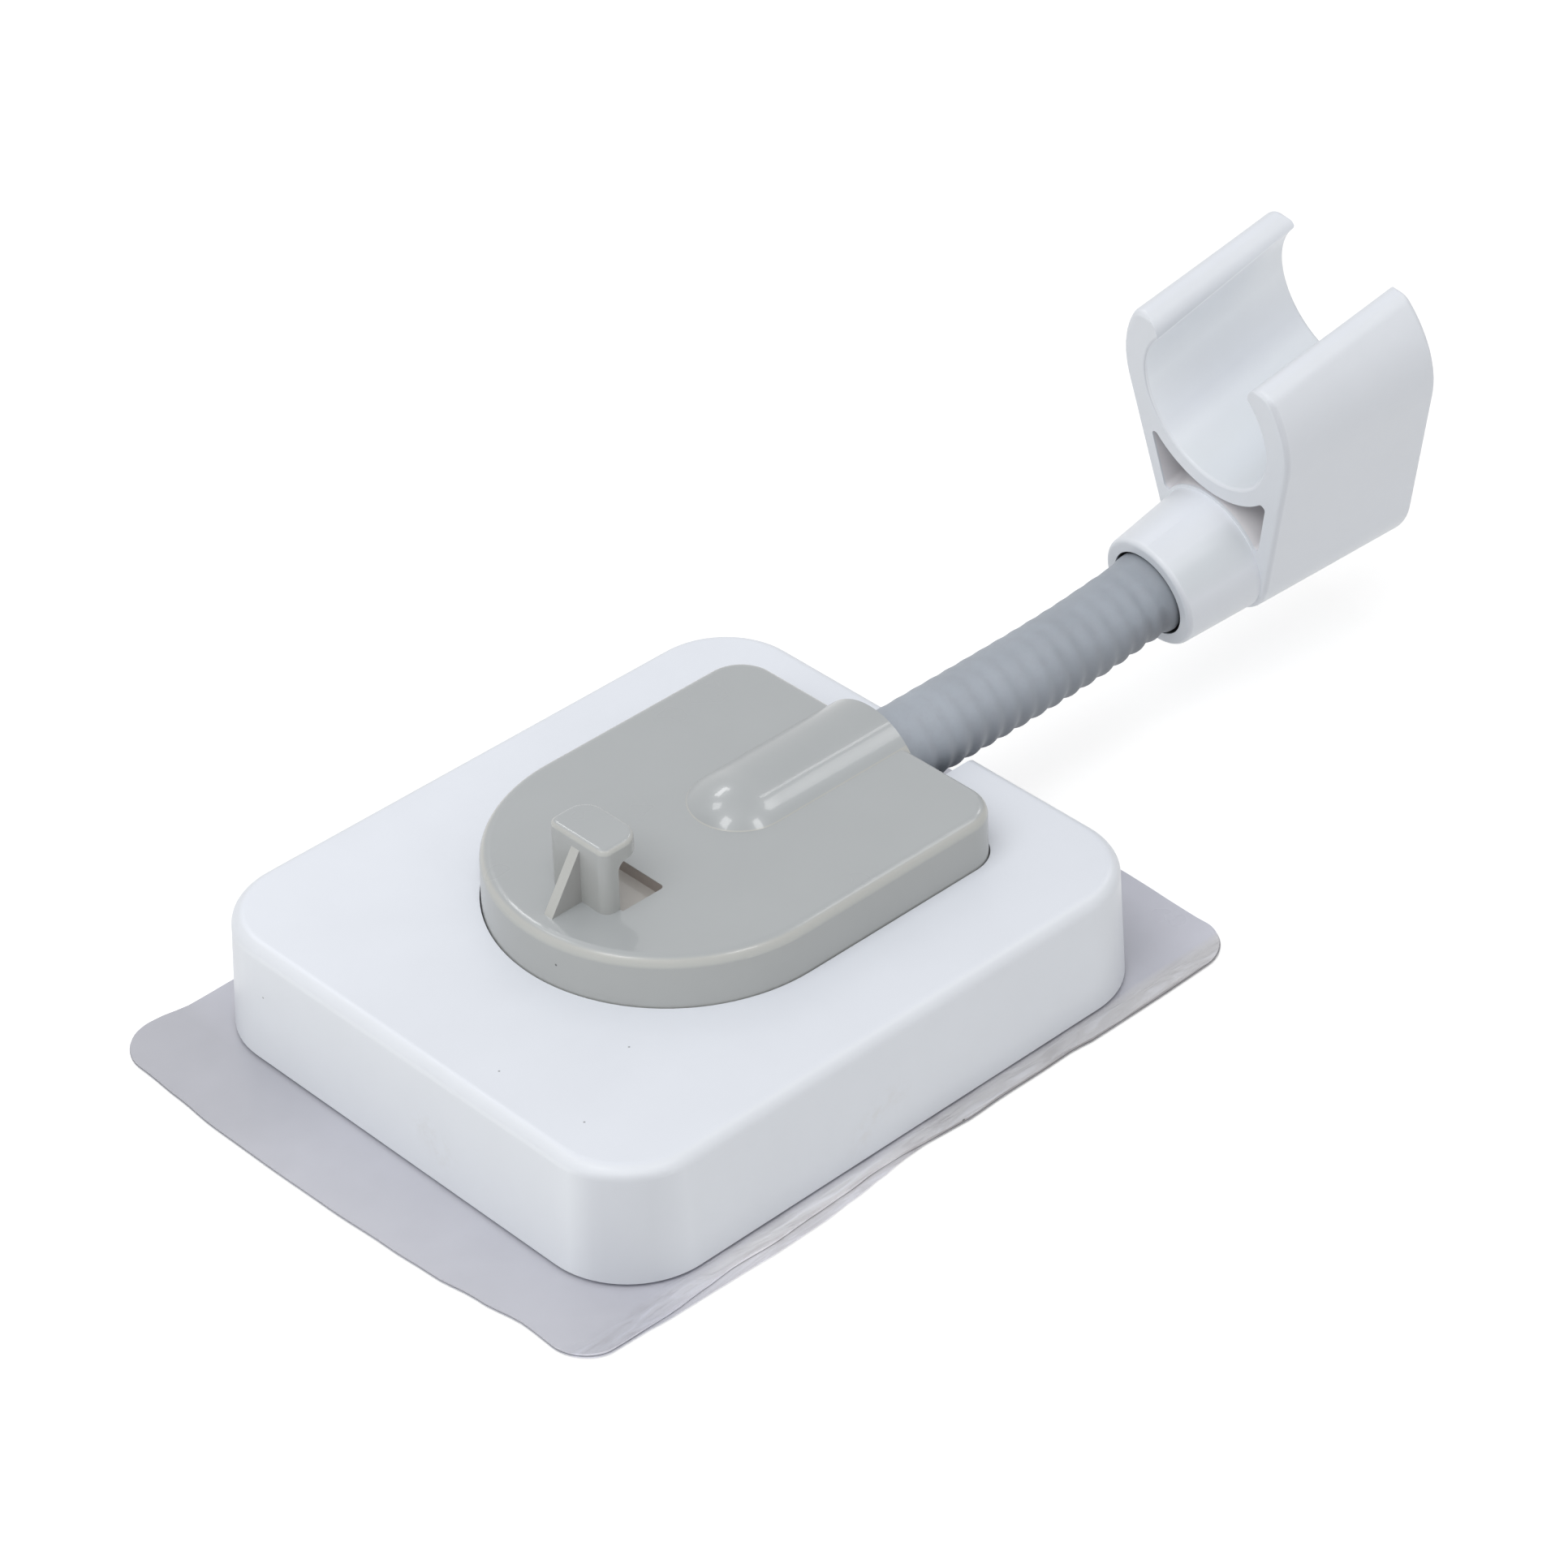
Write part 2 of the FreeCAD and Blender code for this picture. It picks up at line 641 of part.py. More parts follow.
def collar_bores(end):
    """The collar's stepped bore: wide mouth, bearing for the plug's shaft, flared way out to the back."""
    flange_end = plug_flange_start + plug_flange_thickness
    shoulder = flange_end + plug_shaft_length - plug_end_gap / 2
    reach = end + 1 - shoulder
    start = Vector(0, 0, 0)
    head_radius = plug_head_radius + plug_head_gap
    return [
        Part.makeCylinder(collar_bore_radius, flange_end + plug_end_gap, start, X_AXIS),
        Part.makeCylinder(plug_shaft_radius + fit_gap, shoulder + 1, start, X_AXIS),
        Part.makeCone(head_radius, head_radius + bore_flare * reach, reach, Vector(shoulder, 0, 0), X_AXIS),
    ]


def edges_at(shape, x):
    """Edges that lie wholly in the plane at x."""
    return [e for e in shape.Edges if abs(e.BoundBox.XMin - x) < 0.01 and abs(e.BoundBox.XMax - x) < 0.01]


def trough_rim(shape, x):
    """The trough's long curved edge in the plane at x."""
    return [e for e in edges_at(shape, x)
            if e.BoundBox.ZMin > trough_height / 2 and e.Length > 2 * trough_radius]


def cradle():
    """C-shaped clip on a flared collar, built along X from the collar's face."""
    end = collar_length + cradle_length
    body = Part.makeLoft([cradle_section(collar_length), cradle_section(end)], True, True)
    body = body.makeFillet(cradle_edge, edges_at(body, collar_length) + edges_at(body, end))
    overlap = collar_length + collar_overlap
    collar = Part.makeCone(collar_radius, waist_radius(overlap), overlap, Vector(0, 0, 0), X_AXIS)
    collar = collar.makeFillet(collar_rim_edge, edges_at(collar, 0))
    body = body.fuse(collar)
    axis_way = direction(trough_tilt, 0)
    start = Vector(collar_length, 0, trough_height) - axis_way * cradle_length
    trough = Part.makeCylinder(trough_radius, 3 * cradle_length, start, axis_way)
    ring = Part.makeCylinder(trough_radius + trough_wall, 3 * cradle_length, start, axis_way)
    mouth = mouth_cut(collar_length - 1, end + 1)
    pocket_end = end - pocket_back_wall
    inner = Part.makeLoft([
        pocket_section(collar_length - 1),
        pocket_section(pocket_end),
    ], True, True)
    hub = Part.makeCone(collar_radius + pocket_collar_wall, waist_radius(end) + pocket_collar_wall,
                        end, Vector(0, 0, 0), X_AXIS)
    pockets = inner.cut([ring, hub])
    corners = [e for e in pockets.Edges
               if e.BoundBox.XMin < collar_length and min(e.BoundBox.XLength, e.BoundBox.YLength) > pocket_corner]
    pockets = pockets.makeFillet(pocket_corner, corners)
    body = body.cut([trough, mouth, pockets] + collar_bores(end)).removeSplitter()
    for x in (collar_length, end):
        body = body.makeFillet(trough_edge, trough_rim(body, x))
    return body


def pocket_section(t):
    """Outline between the cradle's two side walls at distance t, up to the trough's height."""
    grow = cradle_flare * (t - collar_length)
    waist = waist_radius(t) - pocket_side_wall / 2
    wide = cradle_half_width + grow - pocket_side_wall
    corners = [
        Vector(t, -waist, 0), Vector(t, waist, 0),
        Vector(t, wide, cradle_side_height), Vector(t, -wide, cradle_side_height),
    ]
    return Part.makePolygon(corners + [corners[0]])


def main():
    hinges = hinge_points()
    collar_face = hinges[-1] + direction(cradle_tilt, cradle_turn) * collar_distance
    parts = {
        "release_liner": liner(),
        "adhesive_film": film(),
        "cover": cover(),
        "back_plate": back_plate(),
        "clamp_plate": clamp_plate(),
        "root_ferrule": root_ferrule(),
        "core_root": placed(core_root(), hinges[0], 0, 0),
        "neck_sleeve": sleeve(),
    }
    for number, (x, y) in enumerate(boss_places, 1):
        parts["plate_screw_%d" % number] = plate_screw(x, y)
    for number in range(5):
        parts["core_section_%d" % (number + 1)] = placed(
            core_section(), hinges[number], section_tilt[number], section_turn[number])
    parts["core_tip"] = placed(core_tip(), hinges[-1], cradle_tilt, cradle_turn)
    parts["end_plug"] = placed(end_plug(), collar_face, cradle_tilt, cradle_turn)
    parts["cradle"] = placed(cradle(), collar_face, cradle_tilt, cradle_turn, cradle_roll)
    os.makedirs("parts", exist_ok=True)
    for name, shape in parts.items():
        shape.exportStep("parts/%s.step" % name)
        state = "valid" if shape.isValid() else "INVALID"
        print(name, state, len(shape.Solids), "solids", round(shape.Volume, 1), "mm3")


main()
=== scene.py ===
import json
import math

import bmesh
import bpy
from mathutils import Matrix, Vector


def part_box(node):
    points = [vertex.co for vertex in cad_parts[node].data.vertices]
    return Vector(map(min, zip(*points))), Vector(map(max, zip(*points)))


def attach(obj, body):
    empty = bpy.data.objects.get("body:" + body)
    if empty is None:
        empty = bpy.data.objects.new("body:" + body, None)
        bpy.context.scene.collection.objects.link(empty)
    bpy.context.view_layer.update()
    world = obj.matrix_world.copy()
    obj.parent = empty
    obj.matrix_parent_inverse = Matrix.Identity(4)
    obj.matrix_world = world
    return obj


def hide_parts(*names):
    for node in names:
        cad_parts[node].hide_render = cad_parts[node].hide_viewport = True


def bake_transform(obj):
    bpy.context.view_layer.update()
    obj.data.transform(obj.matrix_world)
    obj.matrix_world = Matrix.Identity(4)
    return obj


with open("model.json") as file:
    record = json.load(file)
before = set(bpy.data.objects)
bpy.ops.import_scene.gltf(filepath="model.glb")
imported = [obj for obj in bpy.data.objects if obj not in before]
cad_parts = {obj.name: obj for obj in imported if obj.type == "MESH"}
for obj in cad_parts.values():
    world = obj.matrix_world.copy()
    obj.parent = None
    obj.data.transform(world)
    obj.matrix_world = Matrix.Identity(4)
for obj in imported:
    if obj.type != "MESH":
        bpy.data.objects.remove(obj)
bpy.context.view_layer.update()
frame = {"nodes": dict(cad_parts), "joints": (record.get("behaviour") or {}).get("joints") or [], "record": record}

nodes = frame["nodes"]
hinges = {joint["name"]: joint for joint in frame["joints"]}
MM = 0.001


# Release liner and adhesive film
# A sheet of clear adhesive gel on a thin release liner, cut by hand a little larger than the base.
# Both are soft: their edges wander, and the gel has crept and crinkled along the side towards -Y.
liner_low, liner_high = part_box("release_liner")
film_low, film_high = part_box("adhesive_film")
cover_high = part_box("cover")[1]
SHEET_CORNER = 8.0 * MM
SHEET_STEP = 2.0 * MM
MARGIN_RINGS = (0.4 * MM, 0.8 * MM, 1.6 * MM, 2.4 * MM, 3.2 * MM)
# How far the sheet's rim is thinner than its middle, as a share of its thickness
RIM_THINNING = 0.45
# How far outside the cover the sheet starts to lift or sink
RIM_START = 0.4 * MM
# How far each edge lies inside the sheet's box, in mm, at places along the edge in mm
LINER_EDGES = {
    "-X": ((-50, 3.1), (-44, 3.0), (-36, 3.3), (-28, 2.2), (-20, 1.15), (-12, 0.7), (0, 0.2), (12, 0.0),
           (24, 0.0), (32, 0.5), (40, 0.9), (50, 1.3)),
    "+X": ((-50, 1.6), (-40, 1.3), (-32, 1.0), (-24, 0.7), (0, 0.4), (30, 0.6), (50, 1.0)),
    "-Y": ((-64, 1.8), (-52, 1.4), (-46, 1.0), (-41, 0.9), (-35, 0.75), (-28, 0.5), (-20, 0.6), (-13, 1.1),
           (-8, 1.6), (-3, 2.2), (1, 2.35), (5, 2.05), (9, 1.75), (16, 1.95), (23, 1.9), (29, 2.0), (33, 1.6),
           (44, 1.6), (64, 1.9)),
    "+Y": ((-64, 1.2), (-56, 1.5), (-50, 2.5), (-20, 1.8), (20, 2.1), (64, 1.7)),
}
FILM_EDGES = {
    "-X": ((-50, 3.15), (-44, 3.05), (-36, 3.35), (-28, 2.25), (-20, 1.2), (-12, 0.75), (0, 0.25),
           (12, 0.05), (24, 0.05), (32, 0.55), (40, 0.95), (50, 1.35)),
    "+X": ((-50, 1.9), (-40, 1.5), (-24, 0.9), (0, 0.6), (30, 0.8), (50, 1.2)),
    "-Y": ((-64, 2.0), (-52, 1.6), (-46, 1.5), (-40, 1.9), (-34, 2.3), (-27, 2.0), (-20, 2.3), (-13, 2.5),
           (-8, 2.9), (-3, 2.8), (1, 2.45), (5, 2.15), (9, 1.85), (16, 2.05), (23, 2.0), (29, 2.1), (33, 1.7),
           (44, 1.7), (64, 2.0)),
    "+Y": ((-64, 1.4), (-56, 1.7), (-50, 2.7), (-20, 2.0), (20, 2.3), (64, 1.9)),
}


def eased(pairs, place):
    """Reads a value between given pairs of (place, value), with an eased step between neighbours."""
    if place <= pairs[0][0]:
        return pairs[0][1]
    for (start, first), (end, second) in zip(pairs, pairs[1:]):
        if place <= end:
            share = (place - start) / (end - start)
            return first + (second - first) * share * share * (3 - 2 * share)
    return pairs[-1][1]


def new_object(name, shape):
    """Makes an object at the origin from a bmesh and frees the bmesh."""
    mesh = bpy.data.meshes.new(name)
    shape.to_mesh(mesh)
    shape.free()
    piece = bpy.data.objects.new(name, mesh)
    bpy.context.scene.collection.objects.link(piece)
    return piece


def shade_smooth(piece, degrees=40):
    """Smooth faces, with edges kept sharp where the surface turns by more than the angle."""
    for face in piece.data.polygons:
        face.use_smooth = True
    piece.data.set_sharp_from_angle(angle=math.radians(degrees))


def soft_sheet(name, low, high, edges, lift):
    """A thin sheet with round corners, given wandering edges, rings along its margin and a lifted rim."""
    half = (high - low) / 2
    centre = (high + low) / 2
    shape = bmesh.new()
    bmesh.ops.create_grid(shape, x_segments=1, y_segments=1, size=1.0)
    bmesh.ops.scale(shape, vec=(half.x, half.y, 1.0), verts=shape.verts)
    bmesh.ops.bevel(shape, geom=shape.verts[:], offset=SHEET_CORNER, offset_type="OFFSET", affect="VERTICES",
                    segments=12, profile=0.5, material=-1)
    bmesh.ops.delete(shape, geom=shape.faces[:], context="FACES_ONLY")
    for edge in [e for e in shape.edges if e.calc_length() > 2 * SHEET_CORNER]:
        bmesh.ops.subdivide_edges(shape, edges=[edge], cuts=int(edge.calc_length() / SHEET_STEP))
    for vert in shape.verts:
        x, y = vert.co.x, vert.co.y
        side_x = "-X" if x < 0 else "+X"
        side_y = "-Y" if y < 0 else "+Y"
        share_x = max(0.0, (abs(x) - half.x + SHEET_CORNER) / SHEET_CORNER)
        share_y = max(0.0, (abs(y) - half.y + SHEET_CORNER) / SHEET_CORNER)
        vert.co.x -= math.copysign(share_x * eased(edges[side_x], y / MM) * MM, x)
        vert.co.y -= math.copysign(share_y * eased(edges[side_y], x / MM) * MM, y)
    bmesh.ops.translate(shape, vec=(centre.x, centre.y, high.z), verts=shape.verts)
    rim = bmesh.ops.edgeloop_fill(shape, edges=shape.edges[:])["faces"]
    for width in MARGIN_RINGS:
        bmesh.ops.inset_region(shape, faces=rim, thickness=width, use_even_offset=True)
    inner = max(shape.faces, key=lambda face: face.calc_area())
    bmesh.ops.triangulate(shape, faces=[inner])
    bmesh.ops.recalc_face_normals(shape, faces=shape.faces[:])
    if shape.faces[0].normal.z < 0:
        bmesh.ops.reverse_faces(shape, faces=shape.faces[:])
    for vert in {vert for edge in shape.edges if edge.is_boundary for vert in edge.verts}:
        vert.co.z -= RIM_THINNING * (high.z - low.z)
    margin = half.y - cover_high.y
    for vert in shape.verts:
        reach = max(abs(vert.co.y) - cover_high.y, abs(vert.co.x) - cover_high.x) - RIM_START
        vert.co.z += lift(vert.co.x / MM, vert.co.y / MM) * min(1.0, max(0.0, reach / margin))
    skin = bmesh.ops.extrude_face_region(shape, geom=shape.faces[:])["geom"]
    for vert in [item for item in skin if isinstance(item, bmesh.types.BMVert)]:
        vert.co.z = low.z
    bmesh.ops.recalc_face_normals(shape, faces=shape.faces[:])
    piece = new_object(name, shape)
    shade_smooth(piece)
    return piece


def liner_lift(x, y):
    """The liner lies flat on the wall, so its rim isn't lifted anywhere."""
    return 0.0


def film_lift(x, y):
    """Downward creep and crinkles of the gel's rim, in metres: strongest along the -Y side."""
    crinkle = 0.10 * math.sin(x * 0.42 + 1.1) + 0.07 * math.sin(x * 0.95) + 0.05 * math.sin(x * 1.7 + y)
    share = 1.0 if y < -40 else 0.25
    return (-0.22 + crinkle * share) * MM


liner = soft_sheet("liner_sheet", liner_low, liner_high, LINER_EDGES, liner_lift)
film = soft_sheet("film_sheet", film_low, film_high, FILM_EDGES, film_lift)


def put(tree, kind, inputs=None, **settings):
    """Adds a node, sets its properties, and fills its inputs with values or with links from sockets."""
    node = tree.nodes.new(kind)
    for key, value in settings.items():
        setattr(node, key, value)
    for key, value in (inputs or {}).items():
        if isinstance(value, bpy.types.NodeSocket):
            tree.links.new(value, node.inputs[key])
        else:
            node.inputs[key].default_value = value
    return node


def tinted(tree, share, first, second):
    """Mixes two colours, each a socket or a value, and returns the mixed socket."""
    node = put(tree, "ShaderNodeMix", {0: share, 6: first, 7: second}, data_type="RGBA")
    return node.outputs[2]


def maths(tree, kind, first, second=0.0, third=0.0):
    """One step of arithmetic on sockets or values."""
    return put(tree, "ShaderNodeMath", {0: first, 1: second, 2: third}, operation=kind).outputs[0]


def product(tree, first, *others):
    """Multiplies masks and values."""
    for other in others:
        first = maths(tree, "MULTIPLY", first, other)
    return first


def remapped(tree, value, low, high, to_low=0.0, to_high=1.0):
    """Carries a value from one range to another, held at both ends."""
    node = put(tree, "ShaderNodeMapRange", {"Value": value, "From Min": low, "From Max": high,
                                            "To Min": to_low, "To Max": to_high}, clamp=True)
    return node.outputs["Result"]


def new_material(name):
    """An empty material with its output and one Principled shader, and the Object coordinates."""
    material = bpy.data.materials.new(name)
    material.use_nodes = True
    tree = material.node_tree
    tree.nodes.clear()
    surface = tree.nodes.new("ShaderNodeBsdfPrincipled")
    output = tree.nodes.new("ShaderNodeOutputMaterial")
    tree.links.new(surface.outputs[0], output.inputs["Surface"])
    place = tree.nodes.new("ShaderNodeTexCoord").outputs["Object"]
    return material, tree, surface, place


def wear(piece, material):
    """Gives a new piece its material."""
    piece.data.materials.clear()
    piece.data.materials.append(material)


def new_group(name, inputs, outputs):
    """A shader node group with named inputs, given as (name, kind, value), and outputs, as (name, kind)."""
    tree = bpy.data.node_groups.new(name, "ShaderNodeTree")
    for label, kind, value in inputs:
        socket = tree.interface.new_socket(name=label, in_out="INPUT", socket_type=kind)
        socket.default_value = value
    for label, kind in outputs:
        tree.interface.new_socket(name=label, in_out="OUTPUT", socket_type=kind)
    start = tree.nodes.new("NodeGroupInput")
    end = tree.nodes.new("NodeGroupOutput")
    return tree, start.outputs, end.inputs


# Handled surface: cloudy tone, thin smudges and dust specks where their masks say, and a fine moulded grain
handled, given, wanted = new_group(
    "handled_surface",
    (("Colour", "NodeSocketColor", (0.8, 0.8, 0.8, 1.0)),
     ("Smudge Colour", "NodeSocketColor", (0.6, 0.58, 0.55, 1.0)),
     ("Cloud", "NodeSocketFloat", 0.03), ("Smudge", "NodeSocketFloat", 0.0),
     ("Specks", "NodeSocketFloat", 0.0), ("Roughness", "NodeSocketFloat", 0.4),
     ("Grain", "NodeSocketFloat", 0.1)),
    (("Colour", "NodeSocketColor"), ("Roughness", "NodeSocketFloat"), ("Normal", "NodeSocketVector")))
spot = put(handled, "ShaderNodeTexCoord").outputs["Object"]
cloud = put(handled, "ShaderNodeTexNoise", {"Vector": spot, "Scale": 70.0, "Detail": 3.0, "Roughness": 0.55})
tone = remapped(handled, cloud.outputs["Fac"], 0.3, 0.7, -1.0, 1.0)
tone = maths(handled, "MULTIPLY_ADD", tone, given["Cloud"], 1.0)
shaded = put(handled, "ShaderNodeVectorMath", {0: given["Colour"], 1: tone}, operation="MULTIPLY").outputs[0]
streak = put(handled, "ShaderNodeTexNoise", {"Vector": spot, "Scale": 620.0, "Detail": 4.0, "Roughness": 0.7})
smudge = maths(handled, "MULTIPLY", given["Smudge"], remapped(handled, streak.outputs["Fac"], 0.42, 0.68))
shaded = tinted(handled, smudge, shaded, given["Smudge Colour"])
shaded = tinted(handled, given["Specks"], shaded, (0.05, 0.05, 0.055, 1.0))
handled.links.new(shaded, wanted["Colour"])
patchy = maths(handled, "SUBTRACT", cloud.outputs["Fac"], 0.5)
uneven = maths(handled, "MULTIPLY_ADD", patchy, 0.16, given["Roughness"])
uneven = maths(handled, "MULTIPLY_ADD", smudge, 0.25, uneven)
handled.links.new(uneven, wanted["Roughness"])
fine = put(handled, "ShaderNodeTexNoise", {"Vector": spot, "Scale": 2600.0, "Detail": 2.0})
broad = put(handled, "ShaderNodeTexNoise", {"Vector": spot, "Scale": 55.0, "Detail": 1.0})
height = maths(handled, "MULTIPLY_ADD", broad.outputs["Fac"], 6.0, fine.outputs["Fac"])
bump = put(handled, "ShaderNodeBump", {"Height": height, "Strength": given["Grain"], "Distance": 0.02 * MM})
handled.links.new(bump.outputs["Normal"], wanted["Normal"])


def handled_finish(tree, surface, **values):
    """Places the handled surface in a material, and joins it to the shader."""
    node = put(tree, "ShaderNodeGroup", {key.replace("_", " "): value for key, value in values.items()},
               node_tree=handled)
    tree.links.new(node.outputs["Colour"], surface.inputs["Base Color"])
    tree.links.new(node.outputs["Roughness"], surface.inputs["Roughness"])
    tree.links.new(node.outputs["Normal"], surface.inputs["Normal"])
    return node


def near_places(tree, place, places, inner, outer):
    """1 within the inner distance of any of the places, falling to 0 at the outer one, all in millimetres."""
    least = None
    for dot in places:
        dot = [value * MM for value in dot]
        away = put(tree, "ShaderNodeVectorMath", {0: place, 1: dot}, operation="DISTANCE").outputs["Value"]
        least = away if least is None else maths(tree, "MINIMUM", least, away)
    return remapped(tree, least, inner * MM, outer * MM, 1.0, 0.0)


def measured(tree, place, way):
    """How far a place lies along a way."""
    return put(tree, "ShaderNodeVectorMath", {0: place, 1: way}, operation="DOT_PRODUCT").outputs["Value"]


def facing_up(tree):
    """How far the surface faces up, from -1 to 1."""
    facing = put(tree, "ShaderNodeTexCoord").outputs["Normal"]
    return put(tree, "ShaderNodeSeparateXYZ", {0: facing}).outputs["Z"]


def facing_way(tree, way, first, last):
    """0 where the surface turns away from a way, 1 where it faces it: cosines from first to last."""
    facing = put(tree, "ShaderNodeTexCoord").outputs["Normal"]
    return remapped(tree, measured(tree, facing, Vector(way).normalized()), first, last)


def brighter(tree, colour, share, gain):
    """Multiplies a colour by a gain where the share is 1."""
    gain = tinted(tree, share, (1, 1, 1, 1), gain + (1.0,))
    return put(tree, "ShaderNodeVectorMath", {0: colour, 1: gain}, operation="MULTIPLY").outputs[0]


def sheet_material(name, colour, warm, roughness, crinkle):
    """Milky gel or liner: cloudy, with painted shade at -X and painted light at +X, warm and folded along -Y with
    painted highlights and shade on the folds, and a cut edge there painted light in its near half and dark in its
    far one.
    """
    material, tree, surface, place = new_material(name)
    axes = put(tree, "ShaderNodeSeparateXYZ", {0: place}).outputs
    # Painted light at the +X end, and painted shade at the -X end, deeper in its corner towards +Y
    painted_light_end = remapped(tree, axes["X"], 50 * MM, 60 * MM)
    base = tinted(tree, painted_light_end, colour, tuple(1.12 * value for value in colour))
    painted_shade_end = remapped(tree, axes["X"], -45 * MM, -52 * MM)
    painted_shade_corner = product(tree, painted_shade_end, remapped(tree, axes["Y"], 8 * MM, 28 * MM))
    base = brighter(tree, base, painted_shade_end, (0.975, 0.975, 0.965))
    base = brighter(tree, base, painted_shade_corner, (0.86, 0.86, 0.86))
    # The strip along -Y, and its half towards +X
    strip = remapped(tree, axes["Y"], -43.5 * MM, -45.5 * MM)
    far_strip = product(tree, strip, remapped(tree, axes["X"], -6 * MM, 6 * MM))
    base = tinted(tree, product(tree, strip, remapped(tree, axes["X"], -50 * MM, -30 * MM)), base, warm)
    base = tinted(tree, far_strip, base, tuple(0.80 * value for value in warm))
    stretched = put(tree, "ShaderNodeMapping", {"Vector": place, "Scale": (0.5, 3.0, 1.0)}).outputs[0]
    folds = put(tree, "ShaderNodeTexNoise", {"Vector": stretched, "Scale": 210.0, "Detail": 2.0,
                                             "Distortion": 1.2}).outputs["Fac"]
    # Painted highlights on the crests of the folds and painted shade in their hollows
    base = brighter(tree, base, product(tree, strip, remapped(tree, folds, 0.53, 0.66)), (1.13, 1.14, 1.16))
    base = brighter(tree, base, product(tree, strip, remapped(tree, folds, 0.44, 0.32)), (0.87, 0.86, 0.86))
    # Its cut edge: a painted highlight in the near half, dark in the far one
    edge = remapped(tree, facing_up(tree), 0.6, 0.4)
    near_edge = product(tree, edge, maths(tree, "SUBTRACT", strip, far_strip))
    base = brighter(tree, base, near_edge, (1.5, 1.5, 1.5))
    base = tinted(tree, product(tree, edge, far_strip), base, (0.34, 0.33, 0.34, 1.0))
    dust = near_places(tree, place, ((-26.8, -44.9, 1.1), (7.9, -47.6, 0.6)), 0.25, 0.4)
    handled_finish(tree, surface, Colour=base, Cloud=0.035, Specks=dust, Roughness=roughness, Grain=0.15)
    grain = surface.inputs["Normal"].links[0].from_socket
    bump = put(tree, "ShaderNodeBump", {"Height": product(tree, folds, strip), "Strength": crinkle,
                                        "Distance": 0.4 * MM, "Normal": grain})
    tree.links.new(bump.outputs["Normal"], surface.inputs["Normal"])
    surface.inputs["Coat Weight"].default_value = 0.35
    surface.inputs["Coat Roughness"].default_value = 0.12
    return material


liner_paper = sheet_material("liner_paper", (0.50, 0.505, 0.56, 1.0), (0.60, 0.595, 0.625, 1.0), 0.42, 0.25)
gel_film = sheet_material("gel_film", (0.515, 0.52, 0.58, 1.0), (0.66, 0.655, 0.675, 1.0), 0.30, 0.8)
wear(liner, liner_paper)
wear(film, gel_film)
for piece, node in ((liner, "release_liner"), (film, "adhesive_film")):
    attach(piece, "base")
    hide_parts(node)


# Base cover and back plate
# The white housing is an injection-moulded shell with a recess for the grey plate.
# A flat plate closes it at the back, and the film is stuck to that plate.
white_plastic, tree, surface, place = new_material("white_moulded_plastic")
axes = put(tree, "ShaderNodeSeparateXYZ", {0: place}).outputs
# Painted light and shade by facing: the tops a little bluer, the far half of the tops and the faces towards -X
# lighter, the faces towards -X and -Y together darker
level = remapped(tree, facing_up(tree), 0.90, 0.99)
white = tinted(tree, level, (0.745, 0.773, 0.820, 1.0), (0.745, 0.775, 0.835, 1.0))
far_level = product(tree, level, remapped(tree, axes["Y"], 0.0, 35 * MM))
white = brighter(tree, white, far_level, (1.06, 1.06, 1.06))
white = brighter(tree, white, facing_way(tree, (-1, 0, 0.03), 0.90, 0.98), (1.07, 1.07, 1.06))
white = brighter(tree, white, facing_way(tree, (-0.68, -0.73, 0.03), 0.80, 0.97), (0.87, 0.87, 0.875))
# Where fingers have left a mark, on the -X side and on the -Y side, and where dust lies
marked_front = near_places(tree, place, ((-50.5, -5.0, 8.4), (-50.5, -8.2, 6.4)), 0.5, 4.0)
marked_side = near_places(tree, place, ((-1.5, -43.9, 8.0), (-5.0, -43.9, 7.0), (-8.0, -44.0, 5.3)), 0.5, 3.5)
marked = maths(tree, "MAXIMUM", marked_front, marked_side)
dust = near_places(tree, place, ((-50.3, 28.8, 11.9), (-44.0, -13.2, 19.5), (-43.1, -28.9, 19.5),
                                 (-28.6, -21.6, 19.5)), 0.11, 0.2)
handled_finish(tree, surface, Colour=white, Smudge_Colour=(0.62, 0.60, 0.56, 1.0), Cloud=0.012,
               Smudge=product(tree, marked, 0.22), Specks=product(tree, dust, 0.6), Roughness=0.36,
               Grain=0.12)
surface.inputs["Specular IOR Level"].default_value = 0.45
for name in ("cover", "back_plate"):
    nodes[name].material_slots[0].material = white_plastic


# Plate screws
# Four small tapping screws of plated steel with straight-sided heads, driven from inside the cover.
screw_steel, tree, surface, place = new_material("plated_screw_steel")
handled_finish(tree, surface, Colour=(0.56, 0.56, 0.55, 1.0), Cloud=0.06, Smudge=0.1, Roughness=0.32,
               Grain=0.4)
surface.inputs["Metallic"].default_value = 1.0
for number in range(1, 5):
    nodes["plate_screw_%d" % number].material_slots[0].material = screw_steel


# Clamp plate with its hook
# One grey moulding: a tub in the cover's recess, the raised channel over the neck's end, and the hook.
# Its rounded edges and side walls are painted lighter than the flat top, as light falls on them.
HOOK_HEIGHT = 10.5 * MM
CHANNEL_STRAIGHT = 13.5 * MM
GUSSET_FRONT = -18.65 * MM
WINDOW_CENTRE = (-12.3 * MM, -0.95 * MM, 0.0)
WINDOW_HALF_LENGTH = 3.9 * MM
WINDOW_HALF_WIDTH = 6.3 * MM
WINDOW_DEPTH = 1.95 * MM
plate_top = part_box("clamp_plate")[1].z - HOOK_HEIGHT
grey_plastic, tree, surface, place = new_material("grey_moulded_plastic")
upward = facing_up(tree)
axes = put(tree, "ShaderNodeSeparateXYZ", {0: place}).outputs
